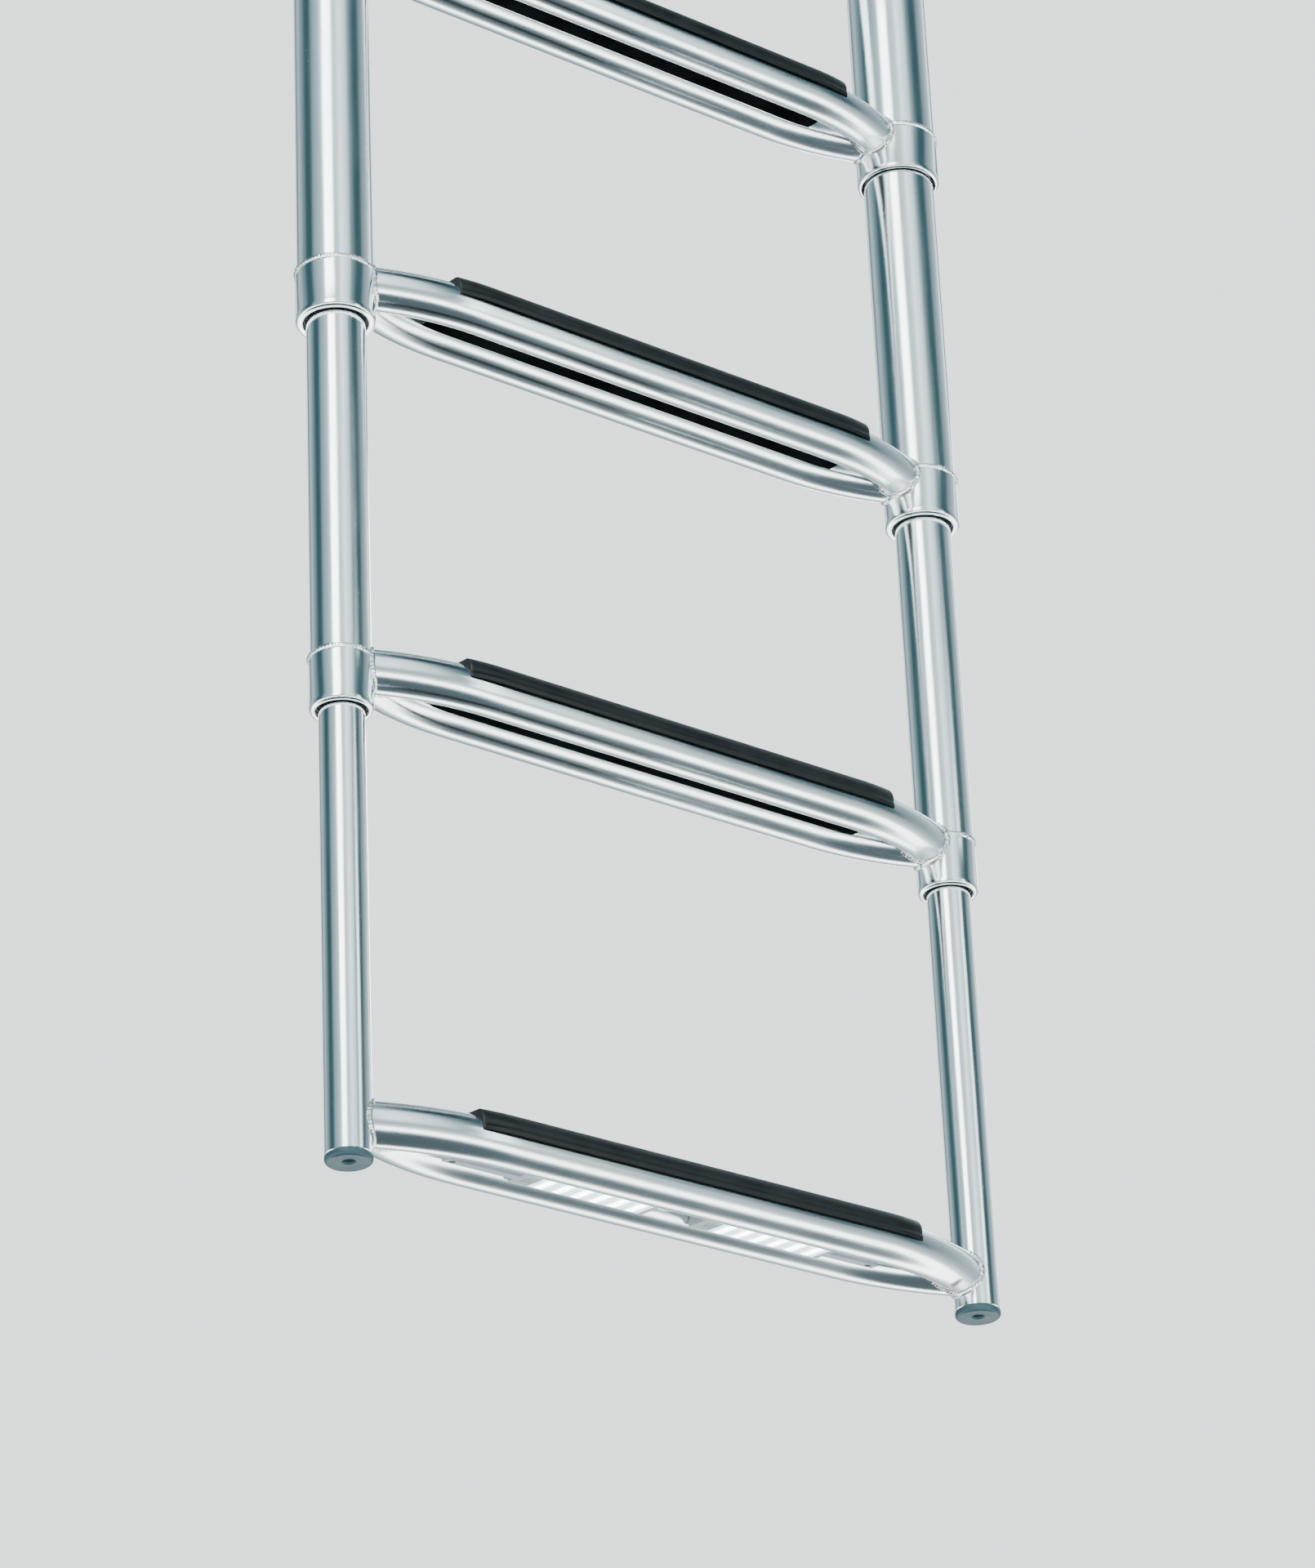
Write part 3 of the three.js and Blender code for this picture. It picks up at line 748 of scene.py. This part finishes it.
def placed_on_tread(mesh, x):
    """Carries a mesh made round the origin to its place on the lowest tread."""
    for vertex in mesh.vertices:
        vertex.co = tilted(vertex.co) + Vector((x, LADDER_Y, TREAD_Z[LAST]))
    return mesh


def add_lamp(label, end):
    """Housing with its bracket and arm, the arm's screw, and the lens with the diodes' domes."""
    housing, lens = f"lamp_housing_{label}", f"lamp_lens_{label}"
    low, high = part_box(housing)
    x = middle(lens).x - (BRACKET - CHEEK) / 2
    reach = (low if end < 0 else high).x - x
    add_housing(label, end, x, reach)
    add_arm_screw(label, x + reach - end * ARM_SCREW["inset"])
    add_lens(label)


def add_housing(label, end, x, reach):
    joint = LENS_TOP + JOINT_LAP
    arm = sorted((reach, end * (LAMP_HALF - ARM_LAP)))
    top = lamp_block(-LAMP_HALF, LAMP_HALF, LENS_TOP + JOINT_GAP, LAMP_TOP)
    steps = [
        ("UNION", lamp_block(-LAMP_HALF, -LAMP_HALF + BRACKET, BRACKET_FOOT, joint)),
        ("UNION", lamp_block(LAMP_HALF - CHEEK, LAMP_HALF, BRACKET_FOOT, joint)),
        ("UNION", lamp_box(*arm, ARM_HALF_Y, BRACKET_FOOT, ARM_TOP)),
    ]
    slot = BRACKET_SLOT
    for k in (-1, 0, 1):
        at = -LAMP_HALF + BRACKET * slot["middle"] + k * slot["pitch"]
        steps.append(("DIFFERENCE", lamp_box(
            at - slot["half"], at + slot["half"], slot["half_y"], BRACKET_FOOT - OVERCUT,
            BRACKET_FOOT + slot["depth"],
        )))
    recess = upright_bar(
        reach - end * ARM_SCREW["inset"], ARM_SCREW["r"] + ARM_SCREW["clear"],
        BRACKET_FOOT - OVERCUT, BRACKET_FOOT + ARM_SCREW["recess"],
    )
    steps.append(("DIFFERENCE", recess))
    mesh = placed_on_tread(carved(top, steps, bevel=0.35 * MM), x)
    node = f"lamp_housing_{label}"
    cut_piece(f"{node}_fine", mesh, "housing", f"section_{LAST}", "housing", node)


def add_arm_screw(label, x):
    r = ARM_SCREW["r"]
    head = upright_bar(0, r, BRACKET_FOOT + ARM_SCREW["clear"], BRACKET_FOOT + ARM_SCREW["top"])
    slot = lamp_box(
        -DRIVER_SLOT["half"], DRIVER_SLOT["half"], r, BRACKET_FOOT, BRACKET_FOOT + DRIVER_SLOT["depth"],
    )
    mesh = placed_on_tread(carved(head, [("DIFFERENCE", slot)], bevel=0.2 * MM), x)
    cut_piece(f"lamp_screw_{label}", mesh, "bush", f"section_{LAST}", "housing")


def add_lens(label):
    """A bar with rounded edges and a dome over each diode."""
    node = f"lamp_lens_{label}"
    low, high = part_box(node)
    half = (high.x - low.x) / 2
    shape = lamp_block(-half, half, LENS_FOOT + LENS_FACE, LENS_TOP - LENS_CLEAR, inset=LENS_INSET)
    steps = []
    for k in range(DIODES):
        at = half * (2 * (k + 0.5) / DIODES - 1)
        bm = bmesh.new()
        dome = arc(0, LENS_FOOT + DOME_UP, DOME_R, -90, 0, 8)
        turned(bm, dome + [(0, LENS_FOOT + DOME_UP)], Vector((at, 0, 0)), sides=32)
        steps.append(("UNION", solid_object("dome", bm)))
    mesh = placed_on_tread(carved(shape, steps, bevel=0.5 * MM), middle(node).x)
    cut_piece(f"{node}_fine", mesh, "lens", f"section_{LAST}", "lens", node)


# ---- pivots and plate ------------------------------------------------------------------------
PIVOT_Z = middle("pivot_nut_left").z
LAP = 1 * MM  # solids that are joined run this far into each other

TONGUE_HALF_X, TONGUE_HALF_Y, TONGUE_LENGTH = 6 * MM, 15 * MM, 50 * MM
TONGUE_HOLE_R, EAR_HOLE_R = 5.35 * MM, 5.3 * MM
CAP_H, CAP_ROUND, CAP_EDGE, CAP_SPIGOT_EDGE = 5 * MM, 2 * MM, 0.3 * MM, 1 * MM
FILLET_OUT, FILLET_UP, FILLET_SIZE = 1 * MM, 0.2 * MM, 1.6 * MM


def bore(r, x, half=60 * MM, sides=64):
    """A round bar along X through the pivot, for cutting a pin hole."""
    circle = arc(LADDER_Y, PIVOT_Z, r, 0, 360 - 360 / sides, sides - 1)
    return solid_object("bore", extruded(circle, x - half, x + half))


def add_tongue(label, end):
    """Cap and spigot in the first tube's head, and the flat tongue on it that the bolt goes through."""
    node = f"hinge_tongue_{label}"
    x = end * STILE_X
    foot = PIVOT_Z - TONGUE_LENGTH
    outline = [(LADDER_Y - TONGUE_HALF_Y, foot - LAP), (LADDER_Y + TONGUE_HALF_Y, foot - LAP)]
    outline += arc(LADDER_Y, PIVOT_Z, TONGUE_HALF_Y, 0, 180, 32)
    flat = solid_object("flat", extruded(outline, x - TONGUE_HALF_X, x + TONGUE_HALF_X))
    r = TUBE_R[1]
    spigot = r - WALL - SPIGOT_CLEAR
    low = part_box(node)[0].z
    bm = bmesh.new()
    turned(bm, [
        (0, low), (spigot - CAP_SPIGOT_EDGE, low), (spigot, low + CAP_SPIGOT_EDGE),
        (spigot, foot - CAP_H), (r - CAP_EDGE, foot - CAP_H), (r, foot - CAP_H + CAP_EDGE),
        *arc(r - CAP_ROUND, foot - CAP_ROUND, CAP_ROUND, 0, 85, 8), (0, foot),
    ], Vector((x, LADDER_Y, 0)))
    cap = solid_object("cap", bm)
    hole = bore(TONGUE_HOLE_R, x, half=20 * MM)
    mesh = carved(flat, [("UNION", cap), ("DIFFERENCE", hole)], bevel=0.6 * MM)
    cut_piece(f"{node}_fine", mesh, "steel_upright", "section_1", "steel", node, crease=40)
    # fillet weld round the foot of the tongue, two points to a corner
    path = []
    for k, (way_x, way_y) in enumerate(((1, 1), (1, -1), (-1, -1), (-1, 1))):
        outs = [(0, FILLET_OUT), (FILLET_OUT, 0)]
        for dx, dy in outs if k % 2 == 0 else reversed(outs):
            px = x + way_x * (TONGUE_HALF_X + dx)
            py = LADDER_Y + way_y * (TONGUE_HALF_Y + dy)
            path.append(Vector((px, py, foot + FILLET_UP)))
    bm = bmesh.new()
    bead(bm, path, FILLET_SIZE)
    lofted_piece(f"tongue_weld_{label}", bm, "weld", "section_1", "steel")


BASE_H, BASE_CORNER = 5 * MM, 4 * MM
BASE_FRONT_IN = 1 * MM  # behind the plate's front edge
EAR_T, EAR_GAP, BOSS_R = 6 * MM, 0.4 * MM, 16 * MM
EAR_STOP = 25 * MM  # before the base's back edge
TOE_H, TOE_TOP, TOE_CUT, HEEL = 1.5 * MM, 3 * MM, 1.5 * MM, 13 * MM
WEB_T, WEB_LIP, TONGUE_CLEAR = 5 * MM, 2.7 * MM, 0.3 * MM
BASE_WELD, BASE_WELD_OUT, BASE_WELD_UP, BASE_WELD_START = 1.5 * MM, 0.3 * MM, 0.4 * MM, 2 * MM


def rounded_back(low, high, r, steps=8):
    """The two back corners of a clevis base, rounded about centres one corner in from its sides."""
    cy = high.y - BASE_CORNER
    return [
        *arc(high.x - BASE_CORNER, cy, r, 0, 90, steps), *arc(low.x + BASE_CORNER, cy, r, 90, 180, steps),
    ]


def add_clevis(label, end):
    """Base on the plate, two ears, and a web between them that stops short of the tongue."""
    node = f"clevis_{label}"
    low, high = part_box(node)
    x = end * STILE_X
    top = low.z + BASE_H
    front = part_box("mounting_plate")[0].y + BASE_FRONT_IN
    ear_back = high.y - EAR_STOP
    outline = rounded_back(low, high, BASE_CORNER) + [(low.x, front), (high.x, front)]
    base = solid_object("base", extruded(outline, low.z, top, axis=2))
    ear = [
        (front, top - LAP), (ear_back, top - LAP), (ear_back, top + TOE_H),
        (ear_back - TOE_CUT, top + TOE_TOP), (front + HEEL, top + TOE_TOP),
        *arc(LADDER_Y, PIVOT_Z, BOSS_R, 50, 245, 40),
    ]
    inside = TONGUE_HALF_X + EAR_GAP
    steps = []
    for way in (-1, 1):
        at = x + way * (inside + EAR_T / 2)
        plate = solid_object("ear", extruded(ear, at - EAR_T / 2, at + EAR_T / 2))
        steps.append(("UNION", plate))
    under_tongue = PIVOT_Z - TONGUE_HALF_Y - TONGUE_CLEAR
    past_tongue = LADDER_Y + TONGUE_HALF_Y + TONGUE_CLEAR
    web = [
        (front, top - LAP), (front + WEB_T, top - LAP), (front + WEB_T, under_tongue),
        (past_tongue, under_tongue), (past_tongue, under_tongue - WEB_LIP),
    ]
    steps.append(("UNION", solid_object("web", extruded(web, x - inside - LAP, x + inside + LAP))))
    steps.append(("DIFFERENCE", bore(EAR_HOLE_R, x)))
    mesh = carved(base, steps, bevel=0.5 * MM)
    cut_piece(f"{node}_fine", mesh, "steel_plain", "mount", "steel", node, crease=40)
    # weld round the base's sides and back corners
    start = front + BASE_WELD_START
    run = [(high.x, start), *rounded_back(low, high, BASE_CORNER + BASE_WELD_OUT), (low.x, start)]
    bm = bmesh.new()
    bead(bm, [Vector((px, py, low.z + BASE_WELD_UP)) for px, py in run], BASE_WELD, closed=False)
    lofted_piece(f"clevis_weld_{label}", bm, "weld", "mount", "steel")


HEX_CORNERS, HEAD_H, HEX_CHAMFER = 9 * MM, 6 * MM, 1.1 * MM
THREAD_CORE, THREAD_CREST, THREAD_PITCH = 4.45 * MM, 5 * MM, 1.5 * MM
THREAD_LENGTH, THREAD_ROWS, SHANK_TIP = 9 * MM, 10, 0.6 * MM


def hexagon(low_x, high_x):
    """A hexagonal bar about the pivot, its corners chamfered at both ends, as object and step."""
    bar = solid_object("hexagon", extruded(arc(LADDER_Y, PIVOT_Z, HEX_CORNERS, 0, 300, 5), low_x, high_x))
    narrow = HEX_CORNERS - HEX_CHAMFER
    rows = [
        (low_x, narrow), (low_x + HEX_CHAMFER, HEX_CORNERS),
        (high_x - HEX_CHAMFER, HEX_CORNERS), (high_x, narrow),
    ]
    return bar, ("INTERSECT", round_bar(rows, 60))


def round_bar(rows, sides):
    """A bar turned about the pivot from (place along X, radius) rows."""
    bm = bmesh.new()
    around_pivot = 360 - 360 / sides
    loft(bm, [
        [Vector((x, y, z)) for y, z in arc(LADDER_Y, PIVOT_Z, r, 0, around_pivot, sides - 1)]
        for x, r in rows
    ])
    return solid_object("round", bm)


def add_bolt(label, end):
    """Hex bolt through the ears, threaded at its end, and its lock nut."""
    bolt, nut = f"pivot_bolt_{label}", f"pivot_nut_{label}"
    low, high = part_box(bolt)
    nut_low, nut_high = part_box(nut)
    head_is_high = middle(nut).x < middle(bolt).x
    head_low, head_high = (high.x - HEAD_H, high.x) if head_is_high else (low.x, low.x + HEAD_H)
    start, way = (head_low + LAP, -1) if head_is_high else (head_high - LAP, 1)
    length = abs((low.x if head_is_high else high.x) - start)
    rows = [(0, THREAD_CREST), (length - THREAD_LENGTH, THREAD_CREST)]
    rows += [
        (length - THREAD_LENGTH + THREAD_PITCH * (k / 2 + 0.5), THREAD_CREST if k % 2 else THREAD_CORE)
        for k in range(THREAD_ROWS)
    ]
    rows += [(length, THREAD_CORE - SHANK_TIP)]
    shank = round_bar([(start + way * t, r) for t, r in rows], 48)
    head, chamfered = hexagon(head_low, head_high)
    mesh = carved(head, [chamfered, ("UNION", shank)])
    cut_piece(f"{bolt}_fine", mesh, "fastener", "mount", "fastener", bolt)

    body, chamfered = hexagon(nut_low.x, nut_high.x)
    mesh = carved(body, [chamfered, ("DIFFERENCE", bore(EAR_HOLE_R, end * STILE_X))])
    cut_piece(f"{nut}_fine", mesh, "fastener", "mount", "fastener", nut)


PLATE_CORNER = 12 * MM
SCREW_X, SCREW_Y = 225 * MM, 36 * MM
SCREW_R, SCREW_HEAD_R, SCREW_SINK = 4.2 * MM, 8.2 * MM, 3.2 * MM


def add_plate():
    """Mounting plate with four countersunk screw holes."""
    low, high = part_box("mounting_plate")
    outline = []
    for x, y, start in (
        (high.x - PLATE_CORNER, high.y - PLATE_CORNER, 0),
        (low.x + PLATE_CORNER, high.y - PLATE_CORNER, 90),
        (low.x + PLATE_CORNER, low.y + PLATE_CORNER, 180),
        (high.x - PLATE_CORNER, low.y + PLATE_CORNER, 270),
    ):
        outline += arc(x, y, PLATE_CORNER, start, start + 90, 12)
    plate = solid_object("plate", extruded(outline, low.z, high.z, axis=2))
    hole = [
        (0, low.z - SCREW_SINK), (SCREW_R, low.z - SCREW_SINK), (SCREW_R, high.z - SCREW_SINK),
        (SCREW_HEAD_R, high.z + SKIN), (SCREW_HEAD_R, high.z + SCREW_SINK), (0, high.z + SCREW_SINK),
    ]
    steps = []
    for x in (-SCREW_X, SCREW_X):
        for y in (-SCREW_Y, SCREW_Y):
            bm = bmesh.new()
            turned(bm, hole, Vector((x, y, 0)), sides=64)
            steps.append(("DIFFERENCE", solid_object("screw_hole", bm)))
    mesh = carved(plate, steps, bevel=0.6 * MM)
    cut_piece("mounting_plate_fine", mesh, "steel_plain", "mount", "steel", "mounting_plate", crease=40)


# ---- studio ----------------------------------------------------------------------------------
FLOOR_BELOW_CAMERA = 120 * MM
FLOOR_SIZE = 30


def floor_paint():
    m = Material("floor")
    m.set(Base_Color=(0.93, 0.94, 0.95, 1), Roughness=0.9)
    return m.material


def soft_box(name, centre, size, facing, power, colour=(1, 1, 1)):
    data = bpy.data.lights.new(name, "AREA")
    data.shape, data.size, data.size_y = "RECTANGLE", size[0], size[1]
    data.energy, data.color = power, colour
    lamp = bpy.data.objects.new(name, data)
    lamp.location = centre
    lamp.rotation_euler = (Vector(facing) - Vector(centre)).to_track_quat("-Z", "Y").to_euler()
    bpy.context.scene.collection.objects.link(lamp)


def around(azimuth, distance, height):
    """A place round the ladder. Azimuth 0 is in front of it, towards -Y; 90 is towards +X."""
    a = math.radians(azimuth)
    return Vector((math.sin(a) * distance, LADDER_Y - math.cos(a) * distance, height))


VIEW_TURN = -38.5  # where the camera stands, as an azimuth


def add_world():
    """A soft studio seen only in reflections and by its light: pale walls with darker gaps between.

    Above the horizon, bands by azimuth, darkened by height; below it, bands by height alone.
    What the camera sees past the ladder is plain and pale.
    """
    world = bpy.data.worlds.new("studio")
    world.use_nodes = True
    w = Tree(world.node_tree)
    w.tree.nodes.clear()

    place = w.add("ShaderNodeTexCoord").outputs["Generated"]
    x, y, z = w.add("ShaderNodeSeparateXYZ", {0: place}).outputs
    azimuth = w.calc("ARCTAN2", x, w.calc("MULTIPLY", y, -1.0))
    from_camera = w.calc("SUBTRACT", azimuth, math.radians(VIEW_TURN))
    turn = w.calc("FRACT", w.calc("ADD", w.calc("DIVIDE", from_camera, math.tau), 0.5))
    height = w.calc("ADD", w.calc("DIVIDE", w.calc("ARCSINE", z), math.pi), 0.5)

    def at(degrees):
        return (degrees + 180) / 360

    def level(degrees):
        return (degrees + 90) / 180

    pale, edge, bright = (0.62, 0.80, 0.86, 1), (0.34, 0.45, 0.58, 1), (2.0, 2.3, 2.4, 1)
    dim, dark = (0.20, 0.32, 0.35, 1), (0.045, 0.115, 0.135, 1)
    walls = w.bands(turn, [
        (at(-180), edge), (at(-168), dim), (at(-156), bright), (at(-146), dark),
        (at(-125), pale), (at(-98), dim), (at(-86), dark),
        (at(-72), dark), (at(-54), (0.42, 0.60, 0.65, 1)), (at(-30), (0.70, 0.90, 0.94, 1)),
        (at(-20), bright), (at(-6), (0.66, 0.80, 0.82, 1)), (at(12), (1.0, 1.2, 1.24, 1)),
        (at(25), bright), (at(38), (1.4, 1.7, 1.75, 1)), (at(58), dim), (at(72), dark),
        (at(86), dark), (at(102), (0.36, 0.46, 0.5, 1)), (at(125), pale), (at(142), bright),
        (at(152), dark), (at(166), pale), (at(180), edge),
    ])
    by_height = w.bands(height, [
        (level(20), (1, 1, 1, 1)), (level(52), (0.95, 0.97, 1, 1)), (level(66), (0.2, 0.24, 0.26, 1)),
        (level(90), (1.3, 1.35, 1.4, 1)),
    ])
    below = w.bands(height, [
        (level(-90), (0.10, 0.14, 0.15, 1)), (level(-57), (0.12, 0.17, 0.19, 1)),
        (level(-51), (0.22, 0.28, 0.30, 1)), (level(-45), (0.9, 1.0, 1.05, 1)),
        (level(-40), (5.8, 6.0, 6.0, 1)), (level(-30), (5.4, 5.6, 5.6, 1)),
        (level(-23), (1.3, 1.45, 1.5, 1)), (level(-8), (0.62, 0.74, 0.78, 1)),
        (level(12), (0.36, 0.46, 0.50, 1)),
    ])
    above = w.blend(1.0, walls, by_height, "MULTIPLY")
    rise = w.ramp(height, level(-6), level(14), 0.0, 1.0, interpolation_type="SMOOTHSTEP")
    banded = w.add("ShaderNodeBackground", {"Color": w.blend(rise, below, above), "Strength": 1.0})
    plain = w.add("ShaderNodeBackground", {"Color": (0.86, 0.89, 0.91, 1), "Strength": 2.2})
    to_camera = w.add("ShaderNodeLightPath").outputs["Is Camera Ray"]
    chosen = w.add("ShaderNodeMixShader", {0: to_camera, 1: banded.outputs[0], 2: plain.outputs[0]})
    w.add("ShaderNodeOutputWorld", {"Surface": chosen.outputs[0]})
    bpy.context.scene.world = world


def add_studio():
    add_world()
    floor_z = RIM_Z[3] + CAMERA_FROM_THIRD_RIM.z - FLOOR_BELOW_CAMERA
    bpy.ops.mesh.primitive_plane_add(size=FLOOR_SIZE, location=(0, 0, floor_z))
    floor = bpy.context.object
    floor.name = "floor"
    floor.data.materials.append(floor_paint())
    floor.visible_glossy = False
    target = (0, LADDER_Y, RIM_Z[2])
    soft_box("key", around(VIEW_TURN - 15, 3.4, 1.2), (1.4, 2.0), target, 60)
    soft_box("fill", around(VIEW_TURN + 62, 3.4, -0.4), (0.8, 2.6), target, 20, (0.86, 0.97, 1.0))
    soft_box("back", around(VIEW_TURN + 170, 3.4, 0.6), (1.4, 1.4), target, 40)


# ---- making ----------------------------------------------------------------------------------
add_camera()
for section in SECTIONS:
    for stile in SIDES:
        add_stiles(section, stile)
    add_rail(section, "front", -1)
    add_rail(section, "rear", 1)
    add_pad(section)
for stile, way_out in SIDES.items():
    add_end_plug(stile)
    add_lamp(stile, way_out)
    add_tongue(stile, way_out)
    add_clevis(stile, way_out)
    add_bolt(stile, way_out)
add_plate()
add_studio()
